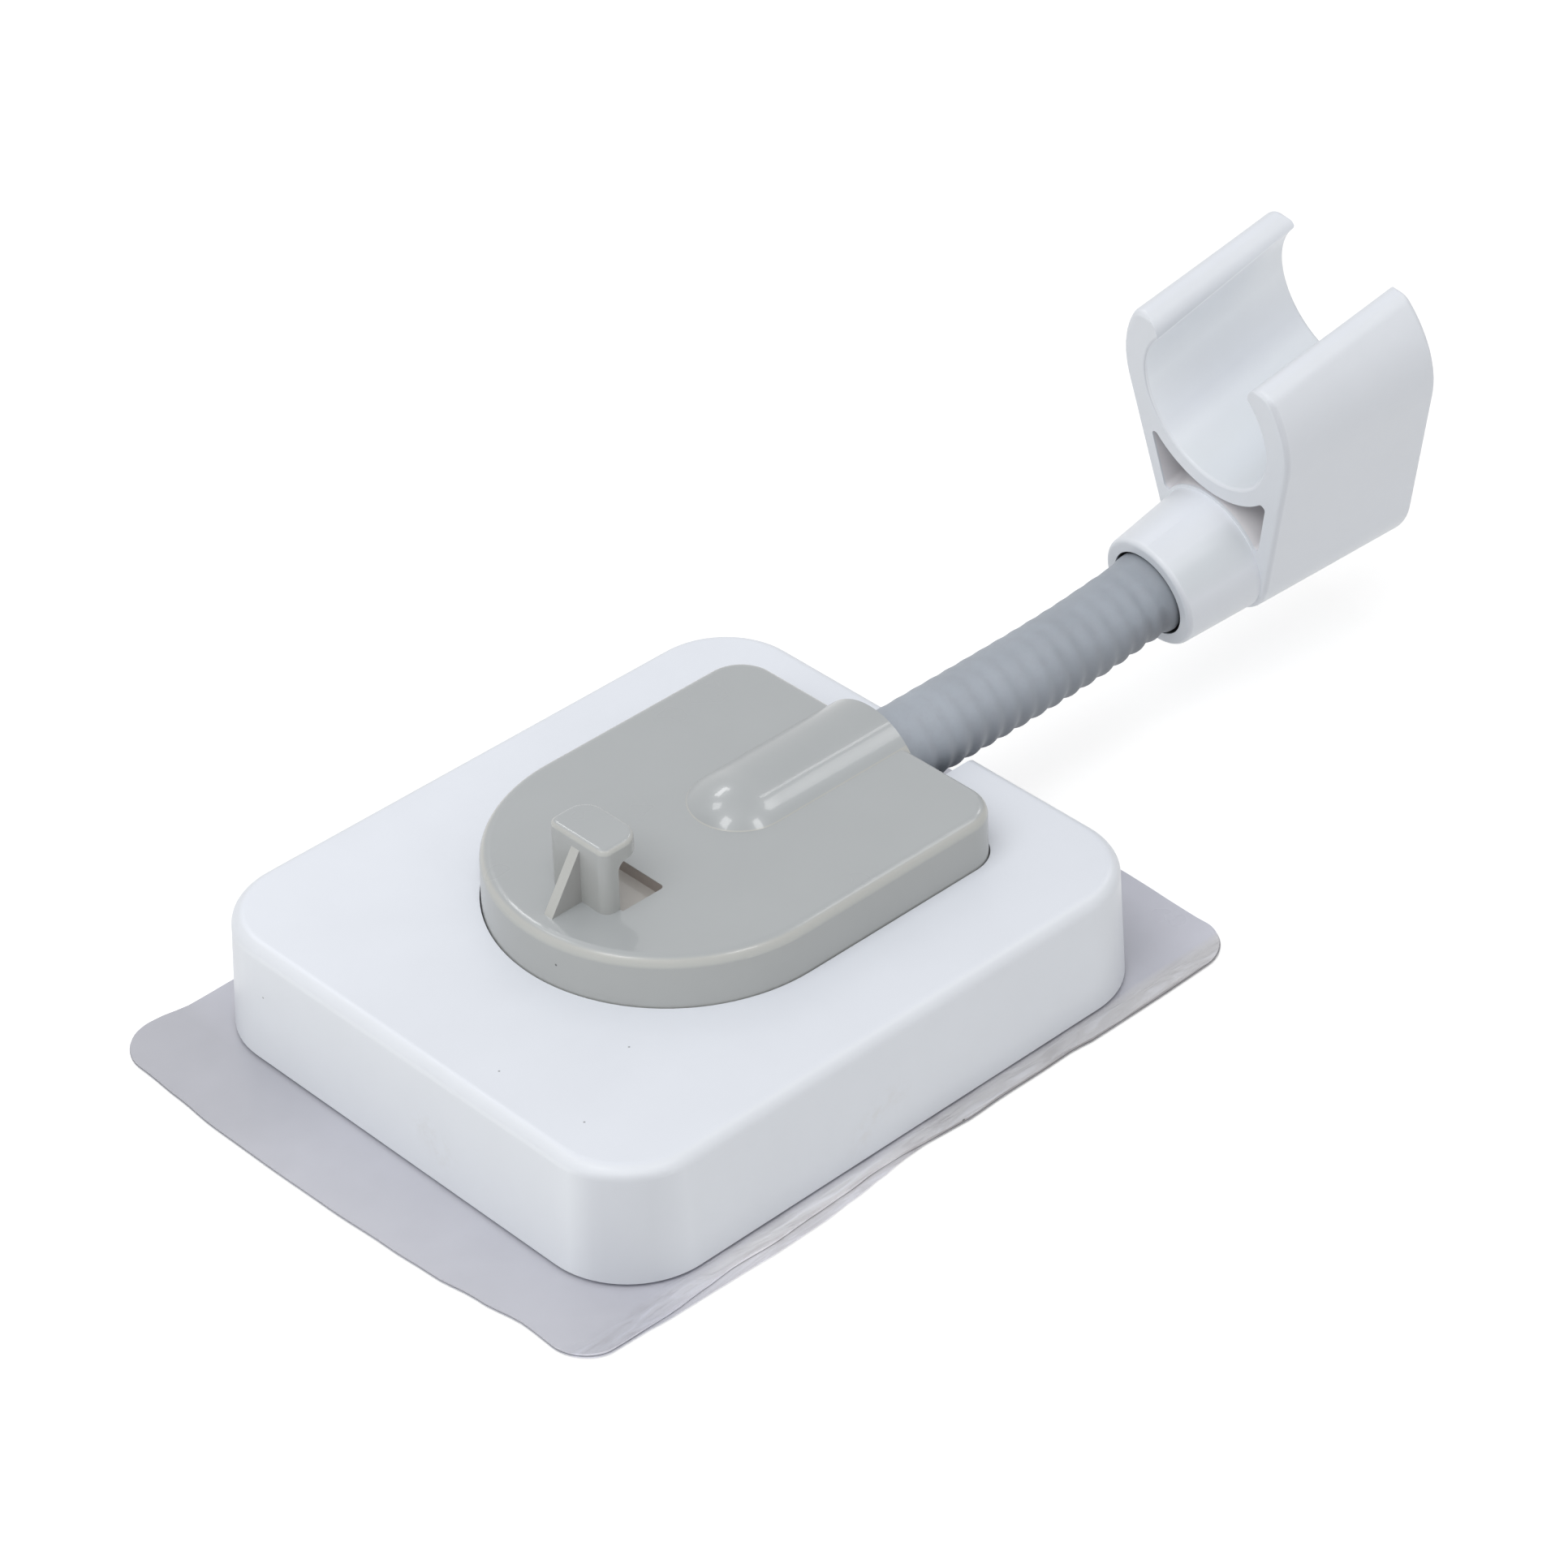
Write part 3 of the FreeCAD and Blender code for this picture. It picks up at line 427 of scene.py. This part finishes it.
# Painted light: side walls and rounded edges lighter than the flat top, set by how far a surface faces up
ramp = put(tree, "ShaderNodeValToRGB", {"Fac": upward})
ramp.color_ramp.interpolation = "EASE"
stops = ramp.color_ramp.elements
stops[0].position, stops[0].color = 0.0, (0.425, 0.436, 0.428, 1.0)
stops[1].position, stops[1].color = 1.0, (0.385, 0.405, 0.415, 1.0)
for position, colour in ((0.25, (0.47, 0.48, 0.46, 1.0)), (0.70, (0.47, 0.475, 0.455, 1.0)),
                         (0.93, (0.39, 0.41, 0.418, 1.0))):
    stop = stops.new(position)
    stop.color = colour
# The channel: one tone, with a painted dark reflection on its nose, painted shade on its far flank and painted
# light on its near one
channel = product(tree, maths(tree, "GREATER_THAN", axes["Z"], plate_top + 0.15 * MM),
                  maths(tree, "GREATER_THAN", axes["X"], 0.0))
toned = tinted(tree, channel, ramp.outputs["Color"], (0.39, 0.41, 0.42, 1.0))
for way, first, last, gain in (((-1, -0.1, 0.4), 0.86, 0.98, 0.88), ((0, -0.75, 0.65), 0.88, 0.98, 1.07),
                               ((0, 0.75, 0.65), 0.88, 0.98, 0.94)):
    toned = brighter(tree, toned, product(tree, channel, facing_way(tree, way, first, last)), (gain,) * 3)
# The gusset's side, which the hook shades
gusset = product(tree, maths(tree, "LESS_THAN", axes["X"], GUSSET_FRONT),
                 facing_way(tree, (0, -1, 0), 0.9, 0.99),
                 maths(tree, "GREATER_THAN", axes["Z"], plate_top + 0.1 * MM))
toned = brighter(tree, toned, gusset, (0.88, 0.86, 0.86))
# The window under the hook's lip: painted shade on its walls, dark brown, and painted light on its floor, paler
# and warm
from_window = put(tree, "ShaderNodeVectorMath", {0: place, 1: WINDOW_CENTRE}, operation="SUBTRACT").outputs[0]
from_window = put(tree, "ShaderNodeVectorMath", {0: from_window}, operation="ABSOLUTE").outputs[0]
from_window = put(tree, "ShaderNodeSeparateXYZ", {0: from_window}).outputs
window = product(tree, maths(tree, "LESS_THAN", from_window["X"], WINDOW_HALF_LENGTH),
                 maths(tree, "LESS_THAN", from_window["Y"], WINDOW_HALF_WIDTH),
                 maths(tree, "LESS_THAN", axes["Z"], plate_top - 0.1 * MM),
                 maths(tree, "GREATER_THAN", axes["Z"], plate_top - WINDOW_DEPTH))
window_painted_light_and_shade = tinted(tree, remapped(tree, upward, 0.3, 0.7), (0.37, 0.325, 0.30, 1.0),
                     (0.46, 0.44, 0.415, 1.0))
toned = tinted(tree, window, toned, window_painted_light_and_shade)
dust = near_places(tree, place, ((-26.7, -5.26, 23.14),), 0.13, 0.22)
handled_finish(tree, surface, Colour=toned, Cloud=0.012, Roughness=0.30, Grain=0.10,
               Specks=product(tree, dust, 0.8))
# A glossy skin, duller at rounded edges and towards the channel's open end
rounded_edge = product(tree, remapped(tree, upward, 0.995, 0.95), maths(tree, "SUBTRACT", 1.0, channel))
open_end = product(tree, channel,
                   remapped(tree, axes["X"], CHANNEL_STRAIGHT - 0.5 * MM, CHANNEL_STRAIGHT + 1.5 * MM))
gloss = remapped(tree, open_end, 0.0, 1.0, 0.6, 0.3)
gloss = maths(tree, "SUBTRACT", gloss, product(tree, rounded_edge, 0.35))
tree.links.new(gloss, surface.inputs["Coat Weight"])
surface.inputs["Coat Roughness"].default_value = 0.07
# The ferrule and the plug on the neck's two ends are of the same plastic
for name in ("clamp_plate", "root_ferrule", "end_plug"):
    nodes[name].material_slots[0].material = grey_plastic


# Neck core
# Ball-and-socket sections of turned steel inside the sleeve, from the ferrule to the stem in the plug.
core_steel, tree, surface, place = new_material("turned_core_steel")
handled_finish(tree, surface, Colour=(0.42, 0.42, 0.42, 1.0), Cloud=0.08, Smudge=0.1, Roughness=0.38,
               Grain=0.5)
surface.inputs["Metallic"].default_value = 1.0
for name in ["core_root", "core_tip"] + ["core_section_%d" % number for number in range(1, 6)]:
    nodes[name].material_slots[0].material = core_steel


# Neck sleeve
# A tube of grey rubber, held by the ferrule and by the plug's spigot, with low ribs outside the clamp plate.
# It is cut half a core section away from each hinge, so each of its six middle lengths spans one hinge.
SLEEVE_CREST = 6.25 * MM
SLEEVE_ROOT = 5.90 * MM
SLEEVE_WALL = 0.7 * MM
# The swell over the plug's spigot: its height, its length, and how many lengths before the plug it starts
END_SWELL = 0.3 * MM
SWELL_LENGTH = 2.5 * MM
SWELL_LEAD = 1.2
RIB_PITCH = 3.36 * MM
RINGS_PER_RIB = 12
RING_SEGMENTS = 56
RIBS_START = 36.5 * MM
sleeve_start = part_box("neck_sleeve")[0].x
hinge_names = ["neck_pitch_1", "neck_yaw_1", "neck_pitch_2", "neck_yaw_2", "neck_pitch_3", "neck_yaw_3"]
hinge_places = [Vector(hinges[name]["pos_m"]) for name in hinge_names]
half_section = (hinge_places[1] - hinge_places[0]).length / 2
rings_per_hinge = round(2 * half_section / (RIB_PITCH / RINGS_PER_RIB))
tip_way = Vector(hinges["cradle_swivel"]["axis"]).normalized()
section_ways = [Vector((1, 0, 0))]
section_ways += [(after - before).normalized() for before, after in zip(hinge_places, hinge_places[1:])]
section_ways.append(tip_way)
cut_places = [hinge_places[0] - section_ways[0] * half_section]
cut_places += [place + way * half_section for place, way in zip(hinge_places, section_ways[1:])]
plug_start = Vector(hinges["cradle_swivel"]["pos_m"])
sleeve_end = plug_start + tip_way * 2.8 * MM


def rib_swell(distance, angle):
    """The sleeve's radius at a place along its ribs and an angle from its top: deepest below, towards -Y."""
    rib = distance / RIB_PITCH
    uneven = 1.0 + 0.14 * math.sin(rib * 1.3) + 0.10 * math.sin(rib * 2.1 + angle)
    away = 0.5 - 0.5 * math.cos(angle - 0.8)
    depth = (SLEEVE_CREST - SLEEVE_ROOT) * (0.25 + 1.0 * away) * min(1.0, 0.88 * uneven)
    return SLEEVE_CREST - depth * (0.5 - 0.5 * math.cos(2 * math.pi * rib))


def sleeve_stations():
    """Places and directions along the sleeve's rest line, from the ferrule to the plug."""
    stations = []
    start = Vector((sleeve_start, 0, hinge_places[0].z))
    straight = (cut_places[0] - start).length
    count = round(straight / (RIB_PITCH / RINGS_PER_RIB))
    for number in range(count):
        stations.append((start + section_ways[0] * straight * number / count, section_ways[0]))
    place = cut_places[0].copy()
    step = 2 * half_section / rings_per_hinge
    for before, after in zip(section_ways, section_ways[1:]):
        for number in range(rings_per_hinge):
            share = number / rings_per_hinge
            way = before.lerp(after, share * share * (3 - 2 * share)).normalized()
            stations.append((place.copy(), way))
            share = (number + 0.5) / rings_per_hinge
            place += before.lerp(after, share * share * (3 - 2 * share)).normalized() * step
    last = (sleeve_end - place).length
    count = round(last / step)
    for number in range(count + 1):
        stations.append((place + tip_way * last * number / count, tip_way))
    return stations


def ribbed_tube():
    """The whole outer skin as one tube: a ring of edges, extruded from station to station."""
    shape = bmesh.new()
    station_of = shape.verts.layers.int.new("station")
    ring = bmesh.ops.create_circle(shape, segments=RING_SEGMENTS, radius=1.0)["verts"]
    angles = [math.atan2(vert.co.y, vert.co.x) for vert in ring]
    edges = shape.edges[:]
    stations = sleeve_stations()
    for number, (place, way) in enumerate(stations):
        if number:
            grown = bmesh.ops.extrude_edge_only(shape, edges=edges)["geom"]
            ring = [item for item in grown if isinstance(item, bmesh.types.BMVert)]
            edges = [item for item in grown if isinstance(item, bmesh.types.BMEdge)]
        turn = Vector((1, 0, 0)).rotation_difference(way)
        ribbed = (place - hinge_places[0]).length
        behind = -1.0 if place.x < hinge_places[0].x else 1.0
        distance = hinge_places[0].x - RIBS_START + behind * ribbed
        near_end = min(1.0, max(0.0, (place - plug_start).dot(tip_way) / SWELL_LENGTH + SWELL_LEAD))
        wider = END_SWELL * near_end * near_end * (3 - 2 * near_end)
        for vert, angle in zip(ring, angles):
            radius = (SLEEVE_CREST if distance < 0 else rib_swell(distance, angle)) + wider
            vert.co = place + turn @ Vector((0, math.sin(angle), math.cos(angle))) * radius
            vert[station_of] = number
    bmesh.ops.recalc_face_normals(shape, faces=shape.faces[:])
    shape.normal_update()
    return shape, stations


tube, stations = ribbed_tube()
straight_count = sum(1 for place, way in stations if place.x < cut_places[0].x - 1e-7)
cuts = [0] + [straight_count + number * rings_per_hinge for number in range(7)] + [len(stations) - 1]
normals_at = {}
for vert in tube.verts:
    normals_at[tuple(round(value, 7) for value in vert.co)] = vert.normal.copy()
sleeve_rubber, tree, surface, place = new_material("ribbed_sleeve_rubber")
# Painted shade by facing: darker on faces that look down, lighter on those that look up
rubber_tone = tinted(tree, remapped(tree, facing_up(tree), -0.6, 0.6), (0.195, 0.215, 0.245, 1.0),
                     (0.352, 0.387, 0.436, 1.0))
# A little darker towards the collar, with painted shade at the collar's mouth and in the collar's shade on the
# side towards -Y
from_mouth = put(tree, "ShaderNodeVectorMath", {0: place, 1: plug_start}, operation="SUBTRACT").outputs[0]
along = measured(tree, from_mouth, tip_way)
under_collar = product(tree, remapped(tree, along, -14 * MM, -4 * MM),
                       facing_way(tree, (0.1, -1, -0.25), 0.80, 0.97))
rubber_tone = brighter(tree, rubber_tone, remapped(tree, along, -26 * MM, -6 * MM), (0.93, 0.935, 0.94))
rubber_tone = brighter(tree, rubber_tone, remapped(tree, along, -2.5 * MM, -0.2 * MM), (0.80, 0.80, 0.80))
rubber_tone = brighter(tree, rubber_tone, under_collar, (0.76, 0.75, 0.75))
handled_finish(tree, surface, Colour=rubber_tone, Smudge_Colour=(0.30, 0.29, 0.33, 1.0), Cloud=0.08,
               Smudge=0.15, Roughness=0.52, Grain=0.5)
for number, (first, last) in enumerate(zip(cuts, cuts[1:])):
    length = tube.copy()
    layer = length.verts.layers.int["station"]
    outside = [vert for vert in length.verts if not first <= vert[layer] <= last]
    bmesh.ops.delete(length, geom=outside, context="VERTS")
    bmesh.ops.solidify(length, geom=length.faces[:], thickness=SLEEVE_WALL)
    piece = new_object("sleeve_length_%d" % number, length)
    shade_smooth(piece, 60)
    skin = [normals_at.get(tuple(round(value, 7) for value in vert.co), Vector((0, 0, 0)))
            for vert in piece.data.vertices]
    piece.data.normals_split_custom_set_from_vertices(skin)
    wear(piece, sleeve_rubber)
    if number == 0:
        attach(piece, "base")
    elif number <= 6:
        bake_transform(piece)
    else:
        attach(piece, "neck_tip")
tube.free()
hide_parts("neck_sleeve")


# Cradle
# The white clip that holds the hand shower's handle: two arms round a sloping trough, on a collar that turns
# on the plug at the neck's end.
COLLAR_BORE = 7.6 * MM
COLLAR_BORE_DEPTH = 5.0 * MM
COLLAR_LENGTH = 13.0 * MM
TROUGH_INSIDE = 12.65 * MM
TROUGH_OUTSIDE = 12.9 * MM
POCKET_START = 13.4 * MM
POCKET_END = 39.5 * MM
POCKET_HALF_WIDTH = 8.2 * MM
POCKET_LOW = 3.0 * MM
POCKET_HIGH = 20.0 * MM
# How fast the cradle's sides spread with height, and along its axis
SIDE_SPREAD = 0.2475
SIDE_FLARE = 0.075
# The cover's white, with painted light and shade by where on the cradle a point lies
cradle_plastic = white_plastic.copy()
cradle_plastic.name = "white_cradle_plastic"
tree = cradle_plastic.node_tree
place = tree.nodes.new("ShaderNodeTexCoord").outputs["Object"]
painted = [node for node in tree.nodes if node.type == "GROUP"][0]
plain = painted.inputs["Colour"].links[0].from_socket
# Along the collar's axis from its mouth, and away from that axis
from_mouth = put(tree, "ShaderNodeVectorMath", {0: place, 1: plug_start}, operation="SUBTRACT").outputs[0]
along = measured(tree, from_mouth, tip_way)
away = put(tree, "ShaderNodeVectorMath", {0: from_mouth, 1: tip_way}, operation="CROSS_PRODUCT").outputs[0]
away = put(tree, "ShaderNodeVectorMath", {0: away}, operation="LENGTH").outputs["Value"]
# Painted shade: the collar's bore near its mouth, dark as the shaded gap round the sleeve
bore = product(tree, maths(tree, "LESS_THAN", away, COLLAR_BORE),
               maths(tree, "GREATER_THAN", along, 0.3 * MM),
               maths(tree, "LESS_THAN", along, COLLAR_BORE_DEPTH))
shade = tinted(tree, bore, plain, (0.14, 0.14, 0.147, 1.0))
# Painted light on the trough's upper walls and painted shade on its floor
trough = frame["record"]["mounts"][1]
from_trough = put(tree, "ShaderNodeVectorMath", {0: place, 1: trough["pos_m"]}, operation="SUBTRACT")
from_axis = put(tree, "ShaderNodeVectorMath", {0: from_trough.outputs[0], 1: trough["axis"]},
                operation="CROSS_PRODUCT")
from_axis = put(tree, "ShaderNodeVectorMath", {0: from_axis.outputs[0]}, operation="LENGTH").outputs["Value"]
inside = maths(tree, "LESS_THAN", from_axis, TROUGH_INSIDE)
upper_wall = product(tree, inside, remapped(tree, facing_up(tree), 0.55, 0.05))
trough_floor = product(tree, inside, remapped(tree, facing_up(tree), 0.6, 0.9))
shade = brighter(tree, shade, upper_wall, (1.24, 1.23, 1.20))
shade = brighter(tree, shade, trough_floor, (0.92, 0.93, 0.92))
# Painted warm light in the two pockets beside the collar, inside the cradle's spreading sides
up_way = Vector(trough["pos_m"]) - plug_start
up_way = (up_way - tip_way * up_way.dot(tip_way)).normalized()
rise = measured(tree, from_mouth, up_way)
across = maths(tree, "ABSOLUTE", measured(tree, from_mouth, tip_way.cross(up_way)))
spread = measured(tree, from_mouth, up_way * SIDE_SPREAD + tip_way * SIDE_FLARE)
across = maths(tree, "SUBTRACT", across, spread)
pocket = product(tree, maths(tree, "GREATER_THAN", along, POCKET_START),
                 maths(tree, "LESS_THAN", along, POCKET_END),
                 maths(tree, "LESS_THAN", across, POCKET_HALF_WIDTH),
                 maths(tree, "GREATER_THAN", from_axis, TROUGH_OUTSIDE),
                 maths(tree, "GREATER_THAN", rise, POCKET_LOW), maths(tree, "LESS_THAN", rise, POCKET_HIGH))
shade = brighter(tree, shade, pocket, (1.08, 1.03, 1.0))
# Painted shade on the collar's flank towards -Y and on its end face
collar = maths(tree, "LESS_THAN", along, COLLAR_LENGTH)
collar_flank = product(tree, collar, facing_way(tree, (0.1, -0.78, 0.62), 0.86, 0.98))
collar_end = product(tree, collar, facing_way(tree, -tip_way, 0.8, 0.96))
shade = brighter(tree, shade, collar_flank, (0.79, 0.81, 0.80))
shade = brighter(tree, shade, collar_end, (0.90, 0.91, 0.92))
tree.links.new(shade, painted.inputs["Colour"])
nodes["cradle"].material_slots[0].material = cradle_plastic


# Floor
# A plain pale surface under the part, which shows its soft shadow.
shape = bmesh.new()
bmesh.ops.create_grid(shape, x_segments=1, y_segments=1, size=4.0)
bmesh.ops.translate(shape, vec=(0, 0, -0.3 * MM), verts=shape.verts)
floor = new_object("floor", shape)
material, tree, surface, place = new_material("pale_floor")
surface.inputs["Roughness"].default_value = 0.9
surface.inputs["Specular IOR Level"].default_value = 0.0


def seen_directly(tree):
    """1 for rays from the camera, from a glossy surface or through glass, and 0 for the light's own paths."""
    paths = put(tree, "ShaderNodeLightPath").outputs
    total = maths(tree, "MAXIMUM", paths["Is Camera Ray"], paths["Is Glossy Ray"])
    return maths(tree, "MAXIMUM", total, paths["Is Transmission Ray"])


paleness = tinted(tree, seen_directly(tree), (0.80, 0.80, 0.80, 1.0), (0.55, 0.55, 0.55, 1.0))
tree.links.new(paleness, surface.inputs["Base Color"])
strength = product(tree, seen_directly(tree), 0.63)
glow = put(tree, "ShaderNodeEmission", {"Color": (1, 1, 1, 1), "Strength": strength})
both = put(tree, "ShaderNodeAddShader", {0: surface.outputs[0], 1: glow.outputs[0]})
output = [node for node in tree.nodes if node.type == "OUTPUT_MATERIAL"][0]
tree.links.new(both.outputs[0], output.inputs["Surface"])
floor.data.materials.append(material)


# Light
# An even white room, one large soft lamp overhead towards the hook's end, and small lamps whose glints
# show along the channel.
world = bpy.data.worlds.new("studio")
bpy.context.scene.world = world
world.use_nodes = True
tree = world.node_tree
tree.nodes.clear()
strength = remapped(tree, seen_directly(tree), 0.0, 1.0, 0.58, 1.0)
room = put(tree, "ShaderNodeBackground", {"Color": (1, 1, 1, 1), "Strength": strength})
output = tree.nodes.new("ShaderNodeOutputWorld")
tree.links.new(room.outputs[0], output.inputs["Surface"])


def area_lamp(name, way, distance, width, height, level, aim=Vector((0.03, 0, 0.02))):
    """A rectangular lamp that faces the object; its level is the light on a white card that faces it."""
    data = bpy.data.lights.new(name, "AREA")
    data.shape = "RECTANGLE"
    data.size = width
    data.size_y = height
    data.energy = level * math.pi * distance * distance * math.pi
    lamp = bpy.data.objects.new(name, data)
    way = Vector(way).normalized()
    lamp.location = aim + way * distance
    lamp.rotation_euler = way.to_track_quat("Z", "Y").to_euler()
    bpy.context.scene.collection.objects.link(lamp)
    return lamp


overhead = area_lamp("overhead_softbox", (-0.45, -0.15, 0.88), 1.2, 1.0, 1.0, 0.55)
overhead.visible_glossy = False
for name, way, width, height, brightness in (
        ("glint_left_far", (0.11, 0.65, 0.76), 0.36, 0.18, 7.0),
        ("glint_left_middle", (-0.28, 0.47, 0.84), 0.22, 0.24, 5.0),
        ("glint_left_near", (-0.53, 0.0, 0.85), 0.28, 0.32, 6.0),
        ("glint_right_far", (0.79, 0.10, 0.61), 0.28, 0.16, 7.0),
        ("glint_right_middle", (0.57, -0.27, 0.78), 0.30, 0.24, 4.5),
        ("glint_right_near", (0.04, -0.58, 0.81), 0.24, 0.30, 6.5),
        ("glint_along_channel", (0.555, -0.023, 0.832), 0.07, 0.07, 9.0)):
    lamp = area_lamp(name, way, 1.2, width, height, brightness * width * height / (math.pi * 1.2 ** 2))
    lamp.visible_diffuse = False


# Camera
# A long lens, about 745 mm from the object's middle, that looks 36 degrees down.
camera_data = bpy.data.cameras.new("camera")
camera_data.sensor_width = 36.0
camera_data.lens = 123.04
camera = bpy.data.objects.new("camera", camera_data)
camera.location = Vector((-386.41, -439.71, 463.33)) * MM
turned = Matrix.Rotation(math.radians(-42.78), 4, "Z") @ Matrix.Rotation(math.radians(90 - 36.145), 4, "X")
camera.rotation_euler = (turned @ Matrix.Rotation(math.radians(-1.579), 4, "Z")).to_euler()
camera_data.clip_start = 0.01
camera_data.clip_end = 50.0
bpy.context.scene.collection.objects.link(camera)
bpy.context.scene.camera = camera
bpy.context.scene.view_settings.view_transform = "Standard"
